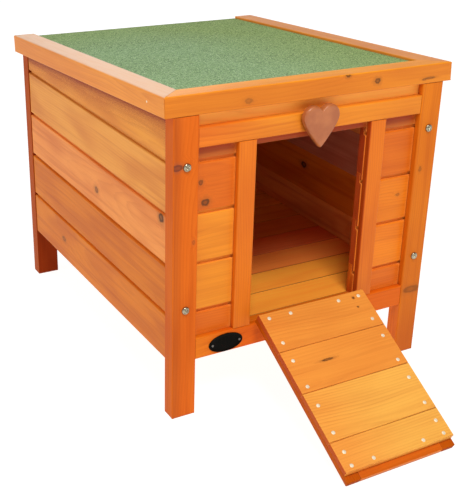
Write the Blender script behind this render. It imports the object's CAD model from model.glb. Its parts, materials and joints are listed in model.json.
"""Looks of a wooden rodent house: stained pine, green roofing felt, a folding ramp and a heart button."""

import json
import math
import random

import bmesh
import bpy
from mathutils import Matrix, Vector, noise


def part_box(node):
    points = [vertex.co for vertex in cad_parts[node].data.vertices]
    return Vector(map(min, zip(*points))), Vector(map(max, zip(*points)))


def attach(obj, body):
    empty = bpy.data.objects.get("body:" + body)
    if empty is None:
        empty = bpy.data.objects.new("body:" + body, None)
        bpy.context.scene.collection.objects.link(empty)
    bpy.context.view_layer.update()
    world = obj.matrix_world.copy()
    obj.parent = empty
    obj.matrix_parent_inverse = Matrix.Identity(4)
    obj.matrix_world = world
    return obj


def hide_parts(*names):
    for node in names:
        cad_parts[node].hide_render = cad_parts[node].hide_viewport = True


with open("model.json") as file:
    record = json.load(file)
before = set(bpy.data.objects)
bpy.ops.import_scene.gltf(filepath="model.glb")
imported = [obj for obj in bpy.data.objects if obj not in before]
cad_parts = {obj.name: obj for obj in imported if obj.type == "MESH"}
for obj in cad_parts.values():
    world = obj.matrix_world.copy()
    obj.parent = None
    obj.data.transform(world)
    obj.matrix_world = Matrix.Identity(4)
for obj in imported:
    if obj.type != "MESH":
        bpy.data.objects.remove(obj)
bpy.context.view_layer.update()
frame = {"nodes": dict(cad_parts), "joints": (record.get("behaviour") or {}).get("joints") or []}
NODES = frame["nodes"]
JOINTS = {joint["name"]: joint for joint in frame["joints"]}
MM = 0.001

# Places taken from the frame: the posts' outer faces, the joints' axes and the ramp's swing
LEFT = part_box("front_post_left")[0].x
RIGHT = -LEFT
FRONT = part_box("front_post_left")[0].y
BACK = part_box("back_post_left")[1].y
RAMP_AXIS = Vector(JOINTS["ramp_hinge"]["pos_m"])
RAMP_SWING = math.radians(JOINTS["ramp_hinge"]["range_deg"][1])
LID_AXIS = Vector(JOINTS["lid_hinge"]["pos_m"])
HEART_AXIS = Vector(JOINTS["heart_turn"]["pos_m"])

# The lid's slope, and the ways down it and out of its upper face
PITCH = math.radians(3.75)
down_lid = Vector((0, math.cos(PITCH), -math.sin(PITCH)))
up_lid = Vector((0, math.sin(PITCH), math.cos(PITCH)))

# The lowered ramp: the ways down it and out of its upper face
down_ramp = Matrix.Rotation(RAMP_SWING, 3, "X") @ Vector((0, 0, 1))
out_of_ramp = Matrix.Rotation(RAMP_SWING, 3, "X") @ Vector((0, 1, 0))

# The ways of the grain: along, across and through a board
X, Y, Z = Vector((1, 0, 0)), Vector((0, 1, 0)), Vector((0, 0, 1))
ALONG_X = (X, Z, Y)
ALONG_Y = (Y, Z, X)
ALONG_Z = (Z, X, Y)
ALONG_X_FLAT = (X, Y, Z)
ALONG_Y_FLAT = (Y, X, Z)
ALONG_LID = (down_lid, up_lid, X)
ACROSS_LID = (X, up_lid, down_lid)
ALONG_RAMP = (down_ramp, X, out_of_ramp)
ACROSS_RAMP = (X, down_ramp, out_of_ramp)

# The closed ramp, in mm: the planks' foot over the ground, and their inner face behind the posts' front
RAMP_FOOT, RAMP_FACE = 117.0, 17.7
# Half the planks' width, and the rows of nails over their foot, in mm
RAMP_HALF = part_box("ramp_plank_1")[1].x / MM
NAIL_ROWS = (9, 48, 76, 115, 143, 182, 209, 227.7)
# One board of the floor with its joint, in mm
FLOOR_BOARD = 53.5
# How far the grain of two floorboards can lie apart in the log, in mm
LOG_SHIFT = 700.0
# How far a piece's edges are rounded, the shortest edge that is rounded, and the cosine of the least
# angle between faces that makes an edge
EDGE = 0.9 * MM
SHORTEST_EDGE = 2.5 * MM
CREASE = math.cos(math.radians(30))


# Colours

def srgb(r, g, b):
    """A colour given as it looks on a screen, 0 to 255, as the linear colour that shaders use."""
    def linear(v):
        v /= 255
        return v / 12.92 if v <= 0.04045 else ((v + 0.055) / 1.055) ** 2.4
    return (linear(r), linear(g), linear(b), 1.0)


def stain(r, g, b):
    """Light, middle and dark colours of pine under one stain, from the middle one as a screen shows it."""
    red, green, blue, _ = srgb(r, g, b)
    light = (min(1.0, red * 1.08), green * 1.2, blue * 1.3, 1.0)
    dark = (red * 0.72, green * 0.5, blue * 0.45, 1.0)
    return light, (red, green, blue, 1.0), dark


STAINS = {
    "amber": stain(229, 136, 32),
    "header": stain(226, 130, 28),
    "orange": stain(222, 116, 17),
    "jamb": stain(222, 111, 12),
    "apricot": stain(231, 123, 19),
    "rust": stain(218, 105, 15),
    "post": stain(219, 97, 9),
    "dark rust": stain(176, 74, 10),
    "lid": stain(219, 123, 26),
    "lid side": stain(232, 137, 37),
    "honey": stain(238, 150, 53),
    "straw": stain(228, 147, 61),
    "rose": stain(240, 144, 67),
    "copper": stain(215, 116, 18),
    "gold": stain(242, 169, 69),
    "tan": stain(240, 159, 60),
    "ginger": stain(234, 141, 51),
    "floor": stain(254, 152, 44),
    "inside": stain(206, 98, 50),
    "panel": stain(214, 160, 100),
}

# Tints, which multiply the stain of a face or a stretch
UNFADED = (1.08, 1.14, 2.4, 1.0)
SAWN = (0.68, 0.4, 1.0, 1.0)
SUNLIT = (1.3, 1.6, 1.4, 1.0)
SCRUFFY = (0.66, 0.34, 0.2, 1.0)
SHELTERED = (0.5, 0.36, 0.7, 1.0)
DEEPER_STAIN = (0.72, 0.78, 2.2, 1.0)
TRODDEN = (0.84, 0.66, 0.8, 1.0)
WARM_SIDE = (1.2, 1.26, 0.9, 1.0)
PALE_FACE = (0.98, 1.08, 3.5, 1.0)
WORN_BY_DOOR = (1.2, 1.28, 1.6, 1.0)
MIDDLE_OF_FLOOR = (1.0, 0.54, 1.8, 1.0)
BACK_OF_FLOOR = (1.0, 1.3, 2.4, 1.0)

# Colours mixed in
GRIME = (0.30, 0.055, 0.012, 1.0)
DEEP_GRIME = (0.26, 0.02, 0.002, 1.0)
POOLED_STAIN = (1.0, 0.34, 0.06, 1.0)
BLEACHED = srgb(232, 194, 160)
KNOT_DARK = srgb(58, 38, 16)
KNOT_RED = srgb(158, 82, 28)

# Joints: the colour gathered there, its share, how far it spreads (m), and how open the dirtiest and the
# clean places are
GRIMY = (GRIME, 0.7, 0.008, (0.1, 0.75))
FAINTLY_GRIMY = (GRIME, 0.15, 0.008, (0.1, 0.75))
STAINED = (POOLED_STAIN, 0.9, 0.008, (0.1, 0.75))
UNDER_LID = (DEEP_GRIME, 1.0, 0.035, (0.74, 0.97))


# Material building

class Tree:
    """Short calls that add nodes to one node tree."""

    def __init__(self, tree):
        self.tree = tree

    def add(self, kind, **settings):
        node = self.tree.nodes.new(kind)
        for key, value in settings.items():
            setattr(node, key, value)
        return node

    def feed(self, socket, value):
        if isinstance(value, bpy.types.NodeSocket):
            self.tree.links.new(value, socket)
        else:
            socket.default_value = value

    def math(self, operation, a, b=0.0, c=0.0, clamp=False):
        node = self.add("ShaderNodeMath", operation=operation, use_clamp=clamp)
        for socket, value in zip(node.inputs, (a, b, c)):
            self.feed(socket, value)
        return node.outputs[0]

    def vector(self, operation, a, b=(0, 0, 0)):
        node = self.add("ShaderNodeVectorMath", operation=operation)
        self.feed(node.inputs[0], a)
        self.feed(node.inputs[1], b)
        return node.outputs["Value" if operation == "DOT_PRODUCT" else "Vector"]

    def combine(self, x, y, z):
        node = self.add("ShaderNodeCombineXYZ")
        for socket, value in zip(node.inputs, (x, y, z)):
            self.feed(socket, value)
        return node.outputs[0]

    def separate(self, vector):
        node = self.add("ShaderNodeSeparateXYZ")
        self.feed(node.inputs[0], vector)
        return node.outputs

    def object_mm(self, coordinates):
        return self.vector("MULTIPLY", coordinates.outputs["Object"], (1000, 1000, 1000))

    def noise(self, vector, scale=1.0, detail=2.0, roughness=0.5):
        node = self.add("ShaderNodeTexNoise")
        self.feed(node.inputs["Vector"], vector)
        self.feed(node.inputs["Scale"], scale)
        self.feed(node.inputs["Detail"], detail)
        self.feed(node.inputs["Roughness"], roughness)
        return node.outputs["Fac"]

    def streaks(self, point, along, across, **settings):
        return self.noise(self.vector("MULTIPLY", point, (along, across, across)), **settings)

    def cells(self, vector, scale, output="Color"):
        node = self.add("ShaderNodeTexVoronoi")
        self.feed(node.inputs["Vector"], vector)
        self.feed(node.inputs["Scale"], scale)
        return node.outputs[output]

    def smooth(self, value, low, high, out_low=0.0, out_high=1.0):
        node = self.add("ShaderNodeMapRange", interpolation_type="SMOOTHSTEP")
        for name, v in (("Value", value), ("From Min", low), ("From Max", high),
                        ("To Min", out_low), ("To Max", out_high)):
            self.feed(node.inputs[name], v)
        return node.outputs["Result"]

    def mix(self, factor, a, b, blend="MIX"):
        node = self.add("ShaderNodeMix", data_type="RGBA", blend_type=blend)
        self.feed(node.inputs["Factor"], factor)
        colours = [s for s in node.inputs if s.type == "RGBA"]
        self.feed(colours[0], a)
        self.feed(colours[1], b)
        return [s for s in node.outputs if s.type == "RGBA"][0]

    def bump(self, height, strength, distance):
        node = self.add("ShaderNodeBump")
        self.feed(node.inputs["Strength"], strength)
        self.feed(node.inputs["Distance"], distance)
        self.feed(node.inputs["Height"], height)
        return node.outputs["Normal"]


def new_material(name):
    """An empty material with its shader and output: (material, tree, shader)."""
    material = bpy.data.materials.new(name)
    material.use_nodes = True
    material.node_tree.nodes.clear()
    tree = Tree(material.node_tree)
    output = tree.add("ShaderNodeOutputMaterial")
    shader = tree.add("ShaderNodeBsdfPrincipled")
    tree.feed(output.inputs["Surface"], shader.outputs[0])
    return material, tree, shader


def wood_group():
    """The grain of a pine board as a node group. Its vector is in mm, X along the grain."""
    group = bpy.data.node_groups.new("pine_grain", "ShaderNodeTree")
    taken = [("NodeSocketVector", name) for name in ("Vector", "Pith")]
    taken += [("NodeSocketFloat", name) for name in ("Bulge", "Ring gap", "Contrast", "Mottle", "End")]
    taken += [("NodeSocketColor", name) for name in ("Light", "Middle", "Dark")]
    given = [("NodeSocketColor", "Color"), ("NodeSocketFloat", "Height"), ("NodeSocketFloat", "Roughness")]
    for way, sockets in (("INPUT", taken), ("OUTPUT", given)):
        for kind, name in sockets:
            group.interface.new_socket(name, in_out=way, socket_type=kind)
    t = Tree(group)
    source = t.add("NodeGroupInput").outputs
    sink = t.add("NodeGroupOutput").inputs
    q = source["Vector"]

    # Distance from the log's middle, which wanders along the board and tapers
    placed = t.vector("ADD", q, source["Pith"])
    wander = t.add("ShaderNodeTexNoise")
    t.feed(wander.inputs["Vector"], t.vector("MULTIPLY", q, (0.0035, 0.012, 0.012)))
    t.feed(wander.inputs["Scale"], 1.0)
    t.feed(wander.inputs["Detail"], 1.0)
    drift = t.vector("SUBTRACT", wander.outputs["Color"], (0.5, 0.5, 0.5))
    drift = t.vector("MULTIPLY", drift, (0, 26, 26))
    x, y, z = t.separate(t.vector("ADD", placed, drift))
    r = t.math("SQRT", t.math("ADD", t.math("MULTIPLY", y, y), t.math("MULTIPLY", z, z)))
    r = t.math("MULTIPLY_ADD", x, 0.018, r)
    wobble = t.streaks(q, 0.02, 0.16, detail=2.0)
    r = t.math("ADD", r, t.math("MULTIPLY", t.math("SUBTRACT", wobble, 0.5), 2.2))
    r = t.math("ADD", r, source["Bulge"])

    # Late wood: each ring darkens outwards and ends sharply
    phase = t.math("FRACT", t.math("DIVIDE", r, source["Ring gap"]))
    rise = t.math("POWER", phase, 2.6)
    late = t.math("MULTIPLY", rise, t.smooth(phase, 0.88, 1.0, 1.0, 0.0))
    presence = t.smooth(t.streaks(q, 0.004, 0.035, detail=1.0), 0.32, 0.66, 0.25, 1.0)
    late = t.math("MULTIPLY", late, presence)

    # Fibres, streaks and the uneven take-up of the stain
    streak = t.streaks(q, 0.011, 0.55, detail=3.0, roughness=0.6)
    fibre = t.streaks(q, 0.07, 3.2, detail=2.0, roughness=0.65)
    blotch = t.streaks(q, 0.009, 0.022, detail=2.0)
    share = t.math("ADD", t.math("MULTIPLY", t.smooth(blotch, 0.3, 0.7), 0.55),
                   t.math("MULTIPLY", t.smooth(streak, 0.3, 0.72), 0.45))
    colour = t.mix(share, source["Light"], source["Middle"])
    slow = t.streaks(q, 0.0075, 0.03, detail=1.0)
    slow_share = t.math("MULTIPLY", t.smooth(slow, 0.42, 0.72, 0.0, 0.4), source["Mottle"])
    colour = t.mix(slow_share, colour, source["Dark"])
    band = t.streaks(q, 0.0035, 0.13, detail=2.0, roughness=0.6)
    band_share = t.math("MULTIPLY", t.smooth(band, 0.48, 0.72, 0.0, 0.42), source["Mottle"])
    colour = t.mix(band_share, colour, source["Dark"])
    late_share = t.math("MULTIPLY", late, t.math("MULTIPLY", source["Contrast"], 0.85), clamp=True)
    colour = t.mix(late_share, colour, source["Dark"])
    fleck = t.math("MULTIPLY", t.smooth(fibre, 0.55, 0.8), t.math("MULTIPLY", source["Contrast"], 0.4))
    colour = t.mix(fleck, colour, source["Dark"])
    pore = t.math("MULTIPLY", t.smooth(streak, 0.66, 0.76), 0.4)
    colour = t.mix(pore, colour, source["Dark"])

    # End grain soaks up more stain and is rough
    rough_end = t.streaks(q, 1.2, 1.6, detail=3.0)
    end_dark = t.mix(t.smooth(rough_end, 0.3, 0.7, 0.3, 0.95), source["Middle"], source["Dark"])
    colour = t.mix(t.math("MULTIPLY", source["End"], 0.85), colour, end_dark)
    height = t.math("ADD", t.math("MULTIPLY", fibre, 0.5), t.math("MULTIPLY", late, 0.5))
    height = t.math("ADD", height, t.math("MULTIPLY", t.math("MULTIPLY", rough_end, source["End"]), 1.5))
    rough = t.math("ADD", 0.36, t.math("MULTIPLY", fibre, 0.16))
    rough = t.math("ADD", rough, t.math("MULTIPLY", source["End"], 0.25))
    t.feed(sink["Color"], colour)
    t.feed(sink["Height"], height)
    t.feed(sink["Roughness"], rough)
    return group


GRAIN = wood_group()


def knot_fields(t, along, across, knots):
    """How knots (along, across, radius, darkness, stretch; mm) push the rings apart, and their masks."""
    bulge, dark, red = 0.0, 0.0, 0.0
    for place, side, radius, darkness, stretch in knots:
        dl = t.math("DIVIDE", t.math("SUBTRACT", along, place), stretch)
        dw = t.math("SUBTRACT", across, side)
        distance = t.math("SQRT", t.math("ADD", t.math("MULTIPLY", dl, dl), t.math("MULTIPLY", dw, dw)))
        uneven = t.noise(t.combine(along, across, radius), scale=0.9 / radius, detail=2.0)
        distance = t.math("MULTIPLY", distance, t.math("ADD", 0.55, t.math("MULTIPLY", uneven, 0.9)))
        ratio = t.math("DIVIDE", distance, radius * 1.9)
        push = t.math("EXPONENT", t.math("MULTIPLY", t.math("MULTIPLY", ratio, ratio), -1.0))
        bulge = t.math("MULTIPLY_ADD", push, radius * 3.4, bulge)
        halo = t.math("MULTIPLY", t.smooth(distance, radius * 0.7, radius * 2.4, 1.0, 0.0), 0.55 * darkness)
        core = t.smooth(distance, radius * 0.75, radius * 1.15, darkness, 0.0)
        core = t.math("MULTIPLY", core, t.smooth(distance, radius * 0.25, radius * 0.75, 0.62, 1.0))
        red = t.math("MAXIMUM", red, halo)
        dark = t.math("MAXIMUM", dark, core)
    return bulge, dark, red


def board_steps(t, across, start, pitch):
    """For the floor's boards: the shift in the log and the shade of each, with the dirt in the joints."""
    turns = t.math("DIVIDE", t.math("SUBTRACT", across, start), pitch)
    number = t.math("FLOOR", turns)
    chance = t.add("ShaderNodeTexWhiteNoise", noise_dimensions="1D")
    t.feed(chance.inputs["W"], number)
    value = chance.outputs["Value"]
    by_chance = t.math("MULTIPLY_ADD", value, 0.1, 0.9)
    shade = t.mix(t.smooth(number, 1.0, 2.8), WORN_BY_DOOR, MIDDLE_OF_FLOOR)
    shade = t.mix(t.smooth(number, 2.5, 5.5), shade, BACK_OF_FLOOR)
    from_joint = t.math("MULTIPLY", t.math("PINGPONG", turns, 0.5), pitch)
    joint = t.smooth(from_joint, 0.5, 1.8, t.smooth(number, 1.0, 4.0, 0.45, 0.8), 1.0)
    dirt = t.math("MULTIPLY", by_chance, joint)
    return t.math("MULTIPLY", value, LOG_SHIFT), t.mix(1.0, shade, t.combine(dirt, dirt, dirt), "MULTIPLY")


def fading(t, value, start, end):
    """1 at the start, falling smoothly to 0 at the end, and 0 before the start."""
    share = t.math("DIVIDE", t.math("SUBTRACT", end, value), end - start)
    return t.math("MULTIPLY", t.smooth(share, 0.0, 1.0), t.math("LESS_THAN", share, 1.01))


def with_joints(t, colour, joints):
    """The colour with stain or dirt gathered where a surface lies close to its neighbours."""
    gathered, share, reach, openness = joints
    clear = t.add("ShaderNodeAmbientOcclusion", samples=4)
    t.feed(clear.inputs["Distance"], reach)
    return t.mix(t.smooth(clear.outputs["AO"], *openness, 1 - share, 1.0), gathered, colour)


def wood(name, directions, look, knots=(), ring_gap=3.4, contrast=0.5, shade=1.0, gloss=0.22, steps=None,
         bleach=0.0, sides=(), joints=GRIMY, mottle=0.7, fades=()):
    """Stained pine. Directions are those along, across and through the board; knots are in mm on its face.

    Sides are pairs: the way that a face looks, and the tint of that face. Mottle is how unevenly the board
    took its stain. Fades are tints that are full at one place along (0) or across (1) the board and gone at
    another: (0 or 1, first place, last place, tint), in mm.
    """
    material, t, shader = new_material("wood_" + name)
    chance = random.Random(name)
    # Only the first of these three is used; the others keep the later draws as they are
    offset, _, _ = (chance.uniform(-900, 900) for _ in range(3))
    turn = chance.uniform(0, math.tau)
    depth = chance.uniform(26, 70)
    pith = (0, depth * math.cos(turn), depth * math.sin(turn))
    coordinates = t.add("ShaderNodeTexCoord")
    normal = coordinates.outputs["Normal"]
    point = t.object_mm(coordinates)
    along, across, through = (t.vector("DOT_PRODUCT", point, tuple(d)) for d in directions)
    low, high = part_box(name)
    middle = (low + high) / 2 / MM
    centre = [middle.dot(d) for d in directions]
    bulge, dark, red = knot_fields(t, along, across, knots)
    broad = t.math("ABSOLUTE", t.vector("DOT_PRODUCT", normal, tuple(directions[2])))
    on_face = t.smooth(broad, 0.4, 0.8)
    grain = t.add("ShaderNodeGroup", node_tree=GRAIN)
    if steps:
        shift, board_shade = board_steps(t, across, *steps)
        along = t.math("ADD", along, shift)
    ways = (along, across)
    local = t.combine(along, across, through)
    t.feed(grain.inputs["Vector"], t.vector("ADD", local, (offset, -centre[1], -centre[2])))
    t.feed(grain.inputs["Pith"], pith)
    t.feed(grain.inputs["Bulge"], bulge)
    t.feed(grain.inputs["Ring gap"], ring_gap)
    t.feed(grain.inputs["Contrast"], contrast)
    t.feed(grain.inputs["Mottle"], mottle)
    facing = t.math("ABSOLUTE", t.vector("DOT_PRODUCT", normal, tuple(directions[0])))
    t.feed(grain.inputs["End"], t.smooth(facing, 0.75, 0.95))
    for label, colour in zip(("Light", "Middle", "Dark"), STAINS[look]):
        t.feed(grain.inputs[label], tuple(shade * c for c in colour[:3]) + (1,))
    colour = grain.outputs["Color"]
    if steps:
        colour = t.mix(1.0, colour, board_shade, "MULTIPLY")
    if knots:
        colour = t.mix(t.math("MULTIPLY", red, on_face), colour, KNOT_RED)
        colour = t.mix(t.math("MULTIPLY", dark, on_face), colour, KNOT_DARK)
    if bleach:
        upward = t.vector("DOT_PRODUCT", normal, tuple(up_lid))
        worn = t.streaks(local, 0.02, 0.2, detail=3.0)
        uneven = t.smooth(worn, 0.2, 0.6, 0.8 * bleach, bleach)
        share = t.math("MULTIPLY", t.smooth(upward, 0.5, 0.95), uneven)
        colour = t.mix(share, colour, BLEACHED)
    for way, start, end, tint in fades:
        colour = t.mix(fading(t, ways[way], start, end), colour, t.mix(1.0, colour, tint, "MULTIPLY"))
    for facing_out, tint in sides:
        on_side = t.smooth(t.vector("DOT_PRODUCT", normal, facing_out), 0.3, 0.9)
        colour = t.mix(on_side, colour, t.mix(1.0, colour, tint, "MULTIPLY"))
    t.feed(shader.inputs["Base Color"], with_joints(t, colour, joints))
    t.feed(shader.inputs["Roughness"], grain.outputs["Roughness"])
    t.feed(shader.inputs["Normal"], t.bump(grain.outputs["Height"], 0.35, 0.0004))
    shader.inputs["Specular IOR Level"].default_value = gloss
    return material


def metal(name, colour, roughness, metallic=1.0):
    """Plated or painted metal with fine brushing and uneven gloss."""
    material, t, shader = new_material(name)
    point = t.add("ShaderNodeTexCoord").outputs["Object"]
    brushed = t.noise(t.vector("MULTIPLY", point, (400, 4000, 1500)), detail=3.0)
    cloudy = t.noise(point, scale=300.0, detail=2.0)
    dull = tuple(0.55 * c for c in colour[:3]) + (1,)
    uneven = t.mix(t.smooth(cloudy, 0.35, 0.75, 0.0, 0.45), colour, dull)
    t.feed(shader.inputs["Base Color"], uneven)
    t.feed(shader.inputs["Roughness"], t.math("MULTIPLY_ADD", brushed, 0.1, roughness))
    t.feed(shader.inputs["Normal"], t.bump(brushed, 0.2, 0.00005))
    shader.inputs["Metallic"].default_value = metallic
    return material


def felt_material():
    """Mineral roofing felt: coloured stone grains pressed into bitumen."""
    material, t, shader = new_material("roofing_felt")
    point = t.object_mm(t.add("ShaderNodeTexCoord"))
    grains_per_mm = 0.85
    grain = t.separate(t.cells(point, grains_per_mm))[0]
    clump = t.noise(point, scale=0.24, detail=3.0, roughness=0.7)
    patch = t.noise(point, scale=0.012, detail=3.0, roughness=0.6)
    colour = t.mix(t.smooth(grain, 0.1, 0.9), srgb(102, 133, 90), srgb(176, 203, 152))
    colour = t.mix(t.smooth(clump, 0.36, 0.66, 0.0, 0.75), colour, srgb(132, 162, 106))
    pale = t.math("MULTIPLY", t.smooth(grain, 0.88, 0.97), 0.8)
    colour = t.mix(pale, colour, srgb(196, 214, 176))
    deep = t.math("MULTIPLY", t.smooth(grain, 0.16, 0.06), 0.8)
    colour = t.mix(deep, colour, srgb(44, 66, 42))
    colour = t.mix(t.smooth(patch, 0.3, 0.7, 0.0, 0.25), colour, srgb(150, 182, 132))
    across, back = t.separate(point)[0:2]
    worn = t.math("ADD", t.smooth(across, -60, 170), t.smooth(back, 150, 420), clamp=True)
    colour = t.mix(worn, colour, t.mix(1.0, colour, (1.0, 0.94, 0.68, 1.0), "MULTIPLY"))
    t.feed(shader.inputs["Base Color"], colour)
    distance = t.cells(point, grains_per_mm, "Distance")
    height = t.math("ADD", t.math("MULTIPLY", distance, -1.0), clump)
    t.feed(shader.inputs["Normal"], t.bump(height, 0.8, 0.0006))
    shader.inputs["Roughness"].default_value = 0.92
    shader.inputs["Specular IOR Level"].default_value = 0.3
    return material


def heart_material():
    """Satin terracotta paint over smoothed wood."""
    material, t, shader = new_material("heart_paint")
    point = t.object_mm(t.add("ShaderNodeTexCoord"))
    cloud = t.noise(point, scale=0.06, detail=3.0)
    speck = t.noise(point, scale=1.6, detail=3.0, roughness=0.7)
    colour = t.mix(t.smooth(cloud, 0.3, 0.7), srgb(186, 108, 58), srgb(168, 91, 46))
    colour = t.mix(t.math("MULTIPLY", t.smooth(speck, 0.58, 0.75), 0.35), colour, srgb(130, 66, 46))
    t.feed(shader.inputs["Base Color"], colour)
    t.feed(shader.inputs["Roughness"], t.smooth(speck, 0.2, 0.8, 0.28, 0.4))
    t.feed(shader.inputs["Normal"], t.bump(speck, 0.15, 0.0002))
    return material


def plate_material():
    """Black enamelled metal, a little scuffed."""
    material, t, shader = new_material("black_plate")
    point = t.object_mm(t.add("ShaderNodeTexCoord"))
    scuff = t.noise(t.vector("MULTIPLY", point, (0.3, 1.0, 3.0)), detail=4.0, roughness=0.7)
    colour = t.mix(t.smooth(scuff, 0.5, 0.8, 0.0, 0.5), (0.002, 0.002, 0.001, 1), (0.006, 0.006, 0.005, 1))
    shader.inputs["Specular IOR Level"].default_value = 0.05
    t.feed(shader.inputs["Base Color"], colour)
    t.feed(shader.inputs["Roughness"], t.smooth(scuff, 0.3, 0.8, 0.24, 0.42))
    return material


def floor_material():
    """The studio's pale floor."""
    material, t, shader = new_material("studio_floor")
    point = t.add("ShaderNodeTexCoord").outputs["Object"]
    cloud = t.noise(point, scale=2.0, detail=2.0)
    t.feed(shader.inputs["Base Color"], t.mix(cloud, (0.20, 0.20, 0.20, 1), (0.22, 0.22, 0.22, 1)))
    shader.inputs["Roughness"].default_value = 0.9
    shader.inputs["Emission Color"].default_value = (1, 1, 1, 1)
    shader.inputs["Emission Strength"].default_value = 0.93
    return material


STEEL = metal("zinc_steel", (0.50, 0.55, 0.56, 1), 0.2)
SCREW = metal("screw_steel", (0.42, 0.37, 0.26, 1), 0.2)
TACK = metal("tack_steel", (0.20, 0.19, 0.17, 1), 0.4)
NAIL = metal("nail_steel", (0.92, 0.80, 0.58, 1), 0.45, metallic=0.2)
DARK_WASHER = metal("dark_washer", (0.06, 0.06, 0.06, 1), 0.5)


# CAD pieces: their materials and softened edges

def mark_creases(mesh):
    """Marks the creases: long ones to be rounded, and short ones, as round a hole, to stay sharp."""
    def ends(key):
        return frozenset(tuple(round(c * 1e5) for c in mesh.vertices[v].co) for v in key)

    normals = {}
    for face in mesh.polygons:
        for key in face.edge_keys:
            normals.setdefault(ends(key), []).append(face.normal)
    rounded, sharp = [], []
    for edge in mesh.edges:
        around = normals.get(ends(edge.vertices), [])
        crease = any(a.dot(b) < CREASE for a in around for b in around)
        a, b = (mesh.vertices[v].co for v in edge.vertices)
        long_crease = crease and (a - b).length > SHORTEST_EDGE
        rounded.append(1.0 if long_crease else 0.0)
        sharp.append(crease and not long_crease)
    for name, kind, values in (("bevel_weight_edge", "FLOAT", rounded), ("sharp_edge", "BOOLEAN", sharp)):
        if name in mesh.attributes:
            mesh.attributes.remove(mesh.attributes[name])
        mesh.attributes.new(name, kind, "EDGE").data.foreach_set("value", values)


def dress(node, material, edge=EDGE):
    """Gives a CAD piece its material and rounds its long edges a little."""
    piece = NODES[node]
    mesh = piece.data
    mesh.materials.clear()
    mesh.materials.append(material)
    mesh.polygons.foreach_set("use_smooth", [True] * len(mesh.polygons))
    if "custom_normal" in mesh.attributes:
        mesh.attributes.remove(mesh.attributes["custom_normal"])
    mark_creases(mesh)
    weld = piece.modifiers.new("weld", "WELD")
    weld.merge_threshold = 0.01 * MM
    soften = piece.modifiers.new("soften", "BEVEL")
    soften.width = edge
    soften.segments = 2
    soften.limit_method = "WEIGHT"
    even = piece.modifiers.new("even", "WEIGHTED_NORMAL")
    even.mode = "FACE_AREA"
    even.keep_sharp = True


def pine(node, *grain, edge=EDGE, **looks):
    """Dresses a CAD piece in stained pine of its own."""
    dress(node, wood(node, *grain, **looks), edge)


def dress_frame():
    """The posts, the headers, the rails and the battens beside the doorway."""
    left = LEFT / MM
    left_knots = ((344.5, -195.5, 8.0, 0.6, 0.5), (246, -172, 2.0, 0.3, 1.6))
    right_knots = ((102, 184.0, 14.0, 0.45, 0.42), (286, 176, 2.5, 0.4, 1.6))
    darker_edge = (1, left, left + 17, (0.79, 0.82, 1.3, 1))
    damp_foot = (0, 0, 115, (0.84, 0.72, 0.55, 1))
    redder_end = (0, left + 30, -40, (1.0, 0.75, 0.7, 1))
    yellower_end = (0, left + 30, -110, (1.06, 1.45, 2.2, 1))
    pine("front_post_left", ALONG_Z, "post", left_knots, gloss=0.05, fades=[darker_edge],
         sides=[((-1, 0, 0), WARM_SIDE), ((0, -1, 0), PALE_FACE)])
    pine("front_post_right", ALONG_Z, "orange", right_knots, shade=0.94, gloss=0.12, fades=[damp_foot])
    pine("back_post_left", ALONG_Z, "dark rust", gloss=0.03, sides=[((0, -1, 0), SHELTERED)])
    pine("back_post_right", ALONG_Z, "dark rust", ((210, 180, 5, 0.7, 1.4),))
    pine("front_header", ALONG_X, "header", ring_gap=4.2, fades=[redder_end])
    pine("front_rail", ALONG_X, "post", ring_gap=3.8, gloss=0.12, fades=[yellower_end])
    pine("door_jamb_left", ALONG_Z, "jamb")
    pine("door_jamb_right", ALONG_Z, "jamb", sides=[((-1, 0, 0), SAWN)])
    pine("back_header", ALONG_X, "orange")
    pine("back_rail", ALONG_X, "orange", ((-60, 94, 5, 0.6, 1.5),))


# The boards' knots, in mm on the face: along, across, radius, darkness and stretch
BOARD_KNOTS = {
    "front_board_4_left": ((-158.2, 317.5, 3.4, 0.65, 0.9), (-151.5, 291.0, 4.8, 0.8, 1.2)),
    "front_board_3_right": ((150, 250, 2.2, 0.4, 1.6),),
    "left_board_3": ((87.8, 238.3, 4.4, 0.65, 1.3), (-110.5, 270.6, 6.0, 0.9, 1.1)),
    "left_board_1": ((220, 112, 4.0, 0.5, 1.6),),
    "right_board_2": ((142.8, 198.6, 5.0, 1.0, 1.6), (-40, 176, 4.0, 0.7, 1.6)),
    "right_board_4": ((30, 320, 5.0, 0.8, 1.6), (230, 300, 3.0, 0.6, 1.6)),
    "back_board_2": ((-70, 178, 5.5, 0.8, 1.6),),
    "back_board_4": ((95, 312, 4.5, 0.8, 1.6), (-120, 330, 3.0, 0.6, 1.6)),
}
# The stains of each wall's courses, from the lowest up
BOARD_LOOKS = {
    "left": ("copper", "copper", "rose", "straw", "honey"),
    "right": ("honey", "copper", "rose", "honey", "copper"),
    "back": ("copper", "honey", "rose", "honey", "copper"),
    "front": ("rust", "amber", "amber", "rust", "tan"),
    "front right": ("orange", "apricot", "apricot", "rust"),
}
# The way into the room from each wall
INWARD = {"left": (1, 0, 0), "right": (-1, 0, 0), "front": (0, 1, 0), "back": (0, -1, 0)}


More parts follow.
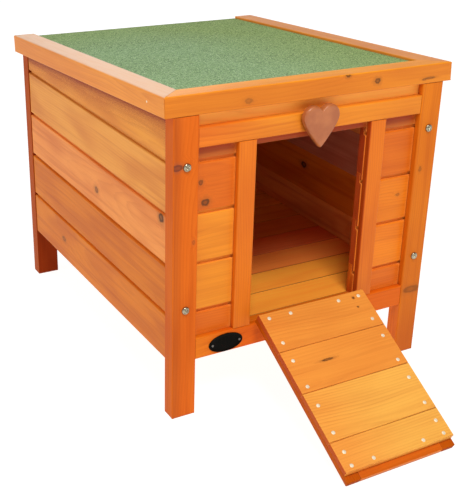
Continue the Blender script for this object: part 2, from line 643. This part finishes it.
def dress_boards():
    """The walls' boards, stained by courses, and those beside the doorway with sawn ends."""
    header_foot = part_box("front_header")[0].z / MM
    under_header = (1, header_foot, header_foot - 48, (0.36, 0.09, 0.03, 1))
    for node in NODES:
        if "_board_" not in node:
            continue
        wall, _, course = node.split("_")[:3]
        front, over_door = wall == "front", node == "front_board_5"
        directions = ALONG_X if wall in ("front", "back") else ALONG_Y
        chance = random.Random("board " + node)
        row = "front right" if front and node.endswith("_right") else wall
        look = BOARD_LOOKS[row][int(course) - 1]
        shade = 1.22 if over_door else chance.uniform(0.95, 1.05)
        ring_gap = chance.uniform(2.8, 4.6)
        gloss = 0.22 if front else 0.09
        sides = [(INWARD[wall], DEEPER_STAIN if course == "3" else UNFADED)]
        if node.endswith("_left"):
            sides.append(((1, 0, 0), SAWN))
        if node.endswith("_right"):
            sides.append(((-1, 0, 0), SAWN))
        joints = UNDER_LID if course == "5" and not front else STAINED
        fades = [under_header] if over_door else []
        mottle = 0.6 if front else 1.2
        edge = 0.5 * MM if front else EDGE
        pine(node, directions, look, BOARD_KNOTS.get(node, ()), ring_gap, shade=shade, gloss=gloss,
             sides=sides, joints=joints, mottle=mottle, fades=fades, edge=edge)


def dress_inside():
    """The cleats behind the posts, the floor and its bearers."""
    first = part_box("floor_boards")[0].y / MM
    pine("corner_cleats", ALONG_Z, "inside")
    pine("floor_boards", ALONG_X_FLAT, "floor", steps=(first, FLOOR_BOARD), edge=0.4 * MM)
    pine("floor_bearers", ALONG_Y_FLAT, "inside")


def on_closed_ramp(x, y, z):
    """A point of the closed ramp, in mm from the posts' faces and the ground, where it lies when lowered."""
    point = Vector((x * MM, FRONT + y * MM, z * MM)) - RAMP_AXIS
    return RAMP_AXIS + Matrix.Rotation(RAMP_SWING, 3, "X") @ point


def down_planks(distance):
    """Where a mark lies along the ramp, in mm, at a distance from the planks' hinge end."""
    return on_closed_ramp(0, RAMP_FACE, RAMP_FOOT + distance).dot(down_ramp) / MM


def dress_ramp():
    """The ramp's planks, which are scruffy at their ends, and the rails under them."""
    knots = {
        1: ((62.2, down_planks(10.2), 1.7, 1.0, 1.0), (61.2, down_planks(25.2), 1.3, 0.9, 1.0)),
        2: ((-24.6, down_planks(87), 1.6, 0.8, 6.0),),
    }
    fades = {
        3: [(0, -RAMP_HALF, 10, (1.0, 0.86, 0.8, 1))],
        4: [(0, -RAMP_HALF, 30, (0.98, 0.76, 0.7, 1))],
    }
    looks = ("ginger", "ginger", "gold", "gold")
    contrasts = (0.5, 0.4, 0.7, 0.5)
    ends = [((-1, 0, 0), SCRUFFY), ((1, 0, 0), SCRUFFY)]
    for number, (look, contrast) in enumerate(zip(looks, contrasts), 1):
        pine("ramp_plank_%d" % number, ACROSS_RAMP, look, knots.get(number, ()), 3.6, contrast, sides=ends,
             joints=FAINTLY_GRIMY, mottle=0.35, fades=fades.get(number, []), edge=0.3 * MM)
    pine("ramp_side_rails", ALONG_RAMP, "post", shade=0.7, gloss=0.04)
    pine("ramp_cross_rails", ACROSS_RAMP, "orange", shade=1.06, gloss=0.1,
         sides=[(tuple(out_of_ramp), TRODDEN)])


def on_lid(x, height):
    """Where a mark on the lid's front face lies along and up the front batten, in mm."""
    return x, Vector((0, FRONT / MM, height)).dot(up_lid)


def dress_lid():
    """The lid's battens, its back rail and the panel under the felt."""
    marks = ((43.0, 429.5, 2.8, 0.8, 1.3), (89.0, 417.6, 3.6, 0.75, 1.3), (-101.5, 413.8, 3.4, 0.35, 1.6),
             (175.1, 412.4, 1.5, 0.6, 6.0), (166.0, 411.4, 1.4, 0.6, 2.5))
    knots = tuple(on_lid(x, height) + (radius, dark, stretch) for x, height, radius, dark, stretch in marks)
    pine("lid_front_batten", ACROSS_LID, "lid", knots, 4.0, sides=[(tuple(up_lid), SUNLIT)])
    for side, bleach in (("left", 0.75), ("right", 0.15)):
        pine("lid_%s_batten" % side, ALONG_LID, "lid side", ring_gap=3.6, bleach=bleach)
    pine("lid_back_rail", ACROSS_LID, "inside")
    pine("roof_panel", ALONG_LID, "panel")


def dress_metal():
    """The hinges, the heart's screw and washer, and the plate's tacks."""
    edge = 0.2 * MM
    for node in ("ramp_hinge_fixed_leaves", "lid_hinge_fixed_leaves", "hinge_pins",
                 "ramp_hinge_moving_leaves", "lid_hinge_moving_leaves", "heart_screw"):
        dress(node, STEEL, edge)
    dress("heart_washer", DARK_WASHER, edge)
    dress("plate_tacks", TACK, edge)


# New pieces

def finish_piece(name, mesh_data, material, body, replaced=()):
    """Links a mesh that is drawn where it lies in the frame, and lets it ride on its body."""
    mesh = bpy.data.meshes.new(name)
    mesh_data.to_mesh(mesh)
    mesh_data.free()
    piece = bpy.data.objects.new(name, mesh)
    bpy.context.scene.collection.objects.link(piece)
    mesh.materials.append(material)
    mesh.polygons.foreach_set("use_smooth", [True] * len(mesh.polygons))
    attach(piece, body)
    if replaced:
        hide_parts(*replaced)


def add_rings(mesh, rings):
    """Joins rings of points, each a list of vectors of the same length, into a closed skin."""
    made = [[mesh.verts.new(p) for p in ring] for ring in rings]
    count = len(made[0])
    for a, b in zip(made, made[1:]):
        for i in range(count):
            j = (i + 1) % count
            mesh.faces.new((a[i], a[j], b[j], b[i]))
    mesh.faces.new(list(reversed(made[0])))
    mesh.faces.new(made[-1])


def disc_head(mesh, place, axis, radius, height, cross=0.0, steps=48):
    """A domed fastener head whose axis points out of the wood, with a cross recess if asked."""
    axis = Vector(axis).normalized()
    side = axis.orthogonal().normalized()
    other = axis.cross(side)
    slot_half, slot_end, slot_fade = 0.1 * radius, 0.62 * radius, 0.85 * radius
    # The dome from its rim inwards, as shares of the radius and the height
    profile = [(1.0, -0.25), (1.0, 0.0), (0.995, 0.25), (0.96, 0.5), (0.88, 0.68), (0.76, 0.8)]
    profile += [(s / 20 * 0.76, 0.8 + 0.2 * (1 - (s / 20) ** 2)) for s in range(19, 0, -1)]
    rings = []
    for share, level in profile:
        ring = []
        for i in range(steps):
            a = i * math.tau / steps
            u, v = radius * share * math.cos(a), radius * share * math.sin(a)
            near, far = sorted((abs(u), abs(v)))
            z = height * level
            if cross and near < slot_half and far < slot_end:
                z -= (1 - far / slot_fade) * cross * height
            ring.append(place + side * u + other * v + axis * z)
        rings.append(ring)
    add_rings(mesh, rings)


def corner_screws():
    """Pan heads of the corner screws, over their shanks in the posts."""
    inset, radius, height = 17.5 * MM, 5.2 * MM, 3.2 * MM
    low_z, front_z, back_z = 155.5 * MM, 343.5 * MM, 310.2 * MM
    mesh = bmesh.new()
    for x in (LEFT + inset, RIGHT - inset):
        for z in (low_z, front_z):
            disc_head(mesh, Vector((x, FRONT, z)), (0, -1, 0), radius, height, 0.6)
        for z in (low_z, back_z):
            disc_head(mesh, Vector((x, BACK, z)), (0, 1, 0), radius, height, 0.6)
    finish_piece("corner_screw_heads", mesh, SCREW, "house", ("corner_screws",))


def ramp_nails():
    """The ramp's clinch nails: a pair in each row, and two more in the first and the last row."""
    inset, middle_x, sunk = 12, 38.5, 0.15
    radius, height = 2.6 * MM, 0.85 * MM
    mesh = bmesh.new()
    chance = random.Random("nails")
    places = [(side * (RAMP_HALF - inset), row) for row in NAIL_ROWS for side in (-1, 1)]
    places += [(x, row) for row in (NAIL_ROWS[0], NAIL_ROWS[-1]) for x in (-middle_x, middle_x)]
    for x, row in places:
        tilt = Vector((chance.uniform(-0.08, 0.08), 0, 0))
        place = on_closed_ramp(x, RAMP_FACE - sunk, RAMP_FOOT + row)
        disc_head(mesh, place, out_of_ramp + tilt, radius, height, steps=24)
    finish_piece("ramp_nail_heads", mesh, NAIL, "ramp", ("ramp_nails",))


def lid_brads():
    """One small brad in the outer face of each side batten."""
    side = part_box("lid_right_batten")[1].x
    y, z = -99.3 * MM, 414.3 * MM
    mesh = bmesh.new()
    for x in (-side, side):
        disc_head(mesh, Vector((x, y, z)), (x, 0, 0), 1.3 * MM, 0.3 * MM, steps=20)
    finish_piece("lid_brads", mesh, NAIL, "lid")


def hinge_screws():
    """Small countersunk screws in the holes of the hinges' leaves."""
    # In mm: the hinges' middles and holes, the leaves, and the rail's and the ramp's faces behind the posts'
    ramp_x, lid_x, hole_x = 48.0, 115.0, 12.5
    leaf_height, leaf_root, leaf_t, axis_off = 20.0, 3.8, 1.4, 3.6
    rail_recess, ramp_outer = 1, 1.7
    middle = (leaf_height + leaf_root) / 2 * MM
    fixed, lid, ramp = bmesh.new(), bmesh.new(), bmesh.new()

    def screw(mesh, place, axis):
        disc_head(mesh, place, axis, 2.1 * MM, 0.5 * MM, 0.9, 24)

    for hinge in (-ramp_x, ramp_x):
        for hole in (-hole_x, hole_x):
            x = hinge + hole
            leaf_face = FRONT + rail_recess * MM - leaf_t * MM
            screw(fixed, Vector((x * MM, leaf_face, RAMP_AXIS.z - middle)), (0, -1, 0))
            place = on_closed_ramp(x, ramp_outer - leaf_t, RAMP_AXIS.z / MM + middle / MM)
            screw(ramp, place, -out_of_ramp)
    for hinge in (-lid_x, lid_x):
        for hole in (-hole_x, hole_x):
            x = (hinge + hole) * MM
            leaf_face = LID_AXIS.y - axis_off * MM + leaf_t * MM
            screw(fixed, Vector((x, leaf_face, LID_AXIS.z - middle)), (0, 1, 0))
            reach = (axis_off * math.cos(PITCH) - leaf_t) * MM
            screw(lid, Vector((x, LID_AXIS.y, LID_AXIS.z)) - down_lid * reach + up_lid * middle, down_lid)
    finish_piece("fixed_leaf_screws", fixed, STEEL, "house")
    finish_piece("lid_leaf_screws", lid, STEEL, "lid")
    finish_piece("ramp_leaf_screws", ramp, STEEL, "ramp")


def in_hull(x, y, circles):
    """Whether a point lies in the hull of some circles, each given as (x, y, radius)."""
    steps = 96
    for step in range(steps):
        a = step * math.tau / steps
        across, up = math.cos(a), math.sin(a)
        reach = max(cx * across + cy * up + radius for cx, cy, radius in circles)
        if x * across + y * up > reach:
            return False
    return True


def heart_outline(up, down, half_w, count=144):
    """The heart's outline round its pivot, in mm, as points at even angles round a place inside it.

    It reaches up over the pivot and down under it. Its right half is the hull of three circles: the lobe,
    the belly and the tip.
    """
    lobe_r, belly_r, tip_r = 14.3, 16.5, 3.0
    lobe_x = half_w - lobe_r
    circles = [(lobe_x, up - lobe_r, lobe_r), (lobe_x / 3, -down / 5, belly_r), (0.0, tip_r - down, tip_r)]
    middle = Vector((0, -4))
    points = []
    for i in range(count):
        angle = math.pi / 2 - i * math.tau / count
        ray = Vector((math.cos(angle), math.sin(angle)))
        inner, outer = 0.0, 60.0
        for _ in range(30):
            half = (inner + outer) / 2
            p = middle + ray * half
            if in_hull(abs(p.x), p.y, circles):
                inner = half
            else:
                outer = half
        points.append(middle + ray * inner)
    return points, middle


def heart_button():
    """The turn button: a thick heart with well-rounded edges."""
    low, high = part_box("heart_button")
    outline, middle = heart_outline((high.z - HEART_AXIS.z) / MM, (HEART_AXIS.z - low.z) / MM, high.x / MM)
    thickness = (high.y - low.y) / MM
    round_r, mean_r, steps = 3.2, 22.0, 8

    def ring(share, level):
        """The outline shrunk to a share of its size, at a level in mm over the heart's back."""
        placed = [middle + (p - middle) * share for p in outline]
        return [Vector((p.x * MM, HEART_AXIS.y - level * MM, HEART_AXIS.z + p.y * MM)) for p in placed]

    rings = [ring(share, 0.0) for share in (0.02, 0.3, 0.6)]
    quarter = [i / steps * math.pi / 2 for i in range(steps + 1)]
    for a in quarter:
        rings.append(ring(1 - round_r / mean_r * (1 - math.sin(a)), round_r * (1 - math.cos(a))))
    for a in quarter:
        level = thickness - round_r * (1 - math.sin(a))
        rings.append(ring(1 - round_r / mean_r * (1 - math.cos(a)), level))
    rings += [ring(share, thickness) for share in (0.78, 0.6, 0.4, 0.2, 0.02)]
    mesh = bmesh.new()
    add_rings(mesh, rings)
    bmesh.ops.recalc_face_normals(mesh, faces=mesh.faces)
    finish_piece("heart", mesh, heart_material(), "heart", ("heart_button",))


def oval_plate():
    """The bare black plate, with a raised rim round its face."""
    low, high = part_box("oval_plate")
    half_w, half_h = (high.x - low.x) / 2, (high.z - low.z) / 2
    middle = (low + high) / 2
    back, face = high.y, low.y
    steps = 96
    # From the back's middle over the rim to the face's middle: a share of the plate's size, and the place
    profile = ((0.02, back), (0.5, back), (0.99, back), (1.0, back - 0.15 * MM), (1.0, face + 0.35 * MM),
               (0.985, face + 0.08 * MM), (0.965, face), (0.93, face), (0.915, face + 0.08 * MM),
               (0.90, face + 0.3 * MM), (0.88, face + 0.38 * MM), (0.6, face + 0.36 * MM),
               (0.02, face + 0.33 * MM))
    rings = []
    for share, y in profile:
        # Near the rim the rings keep an even distance from it
        w = half_w - (1 - share) * half_h if share > 0.85 else half_w * share
        h = half_h * share
        angles = [i * math.tau / steps for i in range(steps)]
        rings.append([Vector((middle.x + w * math.cos(a), y, middle.z + h * math.sin(a))) for a in angles])
    mesh = bmesh.new()
    add_rings(mesh, rings)
    bmesh.ops.recalc_face_normals(mesh, faces=mesh.faces)
    finish_piece("bare_plate", mesh, plate_material(), "house", ("oval_plate",))


def roofing_felt():
    """The felt on the roof panel: a sheet with a grainy top and slightly ragged edges."""
    half_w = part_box("roof_felt")[1].x
    corners = NODES["roof_felt"].data.vertices
    reach = [v.co.dot(down_lid) for v in corners]
    rise = [v.co.dot(up_lid) for v in corners]
    start, end = min(reach), max(reach)
    bottom, top = min(rise), max(rise)
    columns, rows, rim_cells = 180, 236, 3
    mesh = bmesh.new()
    grid = []
    for j in range(rows + 1):
        line = []
        for i in range(columns + 1):
            x = -half_w + 2 * half_w * i / columns
            s = start + (end - start) * j / rows
            coarse = noise.noise(Vector((x, s, 0)) * 700) * 0.22
            fine = noise.noise(Vector((x, s, 3)) * 1500) * 0.12
            swell = noise.noise(Vector((x, s, 9)) * 12) * 0.25
            inside = min(i, columns - i, j, rows - j) / rim_cells
            z = top + (coarse + fine + swell - 0.35) * MM * min(1, inside + 0.3)
            line.append(mesh.verts.new(Vector((x, 0, 0)) + down_lid * s + up_lid * z))
        grid.append(line)
    for j in range(rows):
        for i in range(columns):
            mesh.faces.new((grid[j][i], grid[j][i + 1], grid[j + 1][i + 1], grid[j + 1][i]))
    rim = [grid[0][i] for i in range(columns + 1)]
    rim += [grid[j][columns] for j in range(1, rows + 1)]
    rim += [grid[rows][i] for i in range(columns - 1, -1, -1)]
    rim += [grid[j][0] for j in range(rows - 1, 0, -1)]
    under = [mesh.verts.new(v.co + up_lid * (bottom - v.co.dot(up_lid))) for v in rim]
    for i in range(len(rim)):
        j = (i + 1) % len(rim)
        mesh.faces.new((rim[j], rim[i], under[i], under[j]))
    mesh.faces.new(list(reversed(under)))
    bmesh.ops.recalc_face_normals(mesh, faces=mesh.faces)
    finish_piece("felt_sheet", mesh, felt_material(), "lid", ("roof_felt",))


# Studio

def studio_floor():
    """A wide pale floor under the house."""
    size = 12.0
    mesh = bmesh.new()
    corners = [mesh.verts.new((x * size, y * size, 0)) for x, y in ((-1, -1), (1, -1), (1, 1), (-1, 1))]
    mesh.faces.new(corners)
    data = bpy.data.meshes.new("studio_floor")
    mesh.to_mesh(data)
    mesh.free()
    floor = bpy.data.objects.new("studio_floor", data)
    bpy.context.scene.collection.objects.link(floor)
    data.materials.append(floor_material())


def area_light(name, place, aim, size, power):
    """A white lamp at a place, turned to its aim."""
    data = bpy.data.lights.new(name, "AREA")
    data.shape = "RECTANGLE"
    data.size, data.size_y = size
    data.energy = power
    light = bpy.data.objects.new(name, data)
    light.location = place
    light.rotation_euler = (Vector(aim) - Vector(place)).to_track_quat("-Z", "Y").to_euler()
    bpy.context.scene.collection.objects.link(light)


def studio_lights():
    """A sky that is bright at the horizon and dim overhead, and three lamps."""
    world = bpy.data.worlds.new("studio")
    bpy.context.scene.world = world
    world.use_nodes = True
    t = Tree(world.node_tree)
    direction = t.separate(t.add("ShaderNodeTexCoord").outputs["Generated"])
    level = t.smooth(direction[2], 0.06, 0.3, 1.0, 0.25)
    t.feed(world.node_tree.nodes["Background"].inputs["Color"], t.combine(level, level, level))
    middle = (0, 0, 0.25)
    area_light("key", (-0.5, -1.5, 2.6), middle, (1.0, 1.0), 57)
    area_light("left", (-2.2, 0.3, 1.9), middle, (0.8, 0.8), 11)
    area_light("rim", (1.1, 3.0, 0.85), (-0.2, 0.1, 0.4), (0.9, 1.0), 6)


def camera():
    """The photograph's view: turned to the right, tipped down and slightly rolled."""
    eye = Vector((-0.7040, -1.1169, 0.7392))
    yaw, tip, roll = 0.54553, -0.42525, 0.03412
    focal_px, tall_px, sensor = 1001.3, 500.0, 36.0
    data = bpy.data.cameras.new("camera")
    data.sensor_fit = "AUTO"
    data.sensor_width = sensor
    data.lens = focal_px / tall_px * sensor
    data.clip_start, data.clip_end = 0.05, 60
    view = bpy.data.objects.new("camera", data)
    forward = Vector((math.sin(yaw) * math.cos(tip), math.cos(yaw) * math.cos(tip), math.sin(tip)))
    right = Vector((math.cos(yaw), -math.sin(yaw), 0))
    up = right.cross(forward)
    rolled_right = right * math.cos(roll) + up * math.sin(roll)
    rolled_up = up * math.cos(roll) - right * math.sin(roll)
    turn = Matrix((rolled_right, rolled_up, -forward)).transposed()
    view.matrix_world = Matrix.Translation(eye) @ turn.to_4x4()
    bpy.context.scene.collection.objects.link(view)
    bpy.context.scene.camera = view


camera()
dress_frame()
dress_boards()
dress_inside()
dress_ramp()
dress_lid()
dress_metal()
corner_screws()
ramp_nails()
lid_brads()
hinge_screws()
heart_button()
oval_plate()
roofing_felt()
studio_floor()
studio_lights()
bpy.context.scene.view_settings.view_transform = "Standard"
